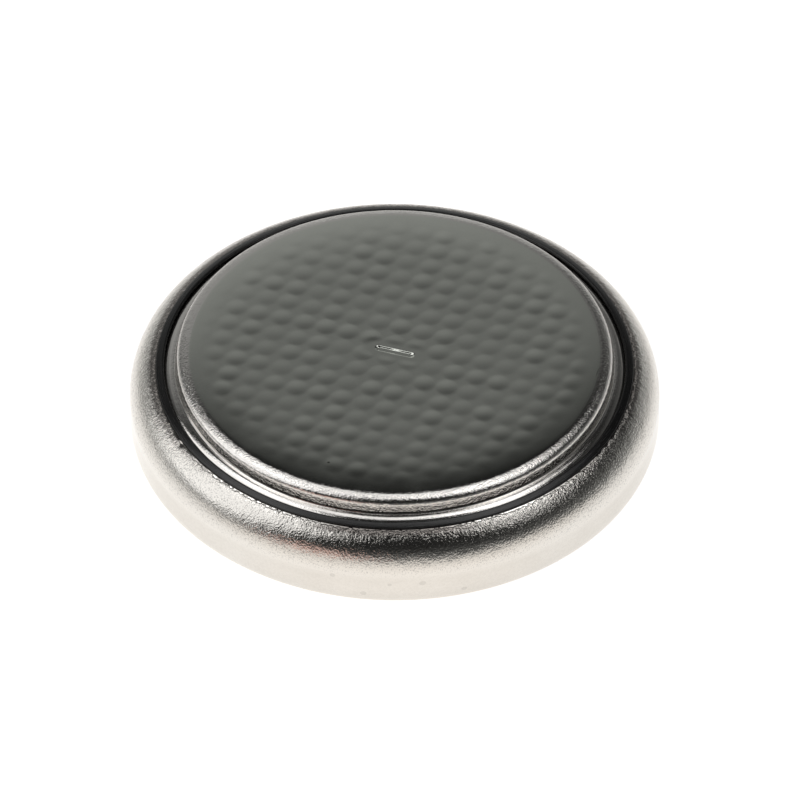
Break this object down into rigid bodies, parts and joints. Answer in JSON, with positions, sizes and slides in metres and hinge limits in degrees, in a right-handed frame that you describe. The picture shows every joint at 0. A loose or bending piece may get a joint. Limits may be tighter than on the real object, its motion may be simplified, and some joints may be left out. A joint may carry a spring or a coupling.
{
  "type": "lithium coin cell",
  "caption": "Round coin cell: crimped steel can, stepped cap with a domed edge, black sealing ring and the stack of discs inside.",
  "frame": {"origin": "centre of the can's flat base, on the plane that the cell lies on", "axes": "+Z along the cell's axis, from the positive base up to the negative cap"},
  "size_m": [0.0244, 0.0244, 0.0048],
  "materials": {
    "can_steel": "nickel-plated sheet, bright wall, grainy crimp",
    "cap_steel": "nickel-plated sheet, satin face, grainy shoulder",
    "gasket_polymer": "glossy black moulded polymer",
    "lithium_foil": "dull soft metal",
    "membrane": "matte white film",
    "nonwoven": "felted fibres",
    "pressed_oxide": "matte pressed powder",
    "ring_steel": "plain stainless sheet",
    "mesh_steel": "expanded stainless sheet"
  },
  "bodies": {
    "root": {"positive_can": "can_steel", "negative_cap": "cap_steel", "sealing_gasket": "gasket_polymer", "lithium_anode": "lithium_foil", "separator": "membrane", "electrolyte_absorber": "nonwoven", "cathode_pellet": "pressed_oxide", "cathode_ring": "ring_steel", "current_collector": "mesh_steel"}
  },
  "joints": []
}
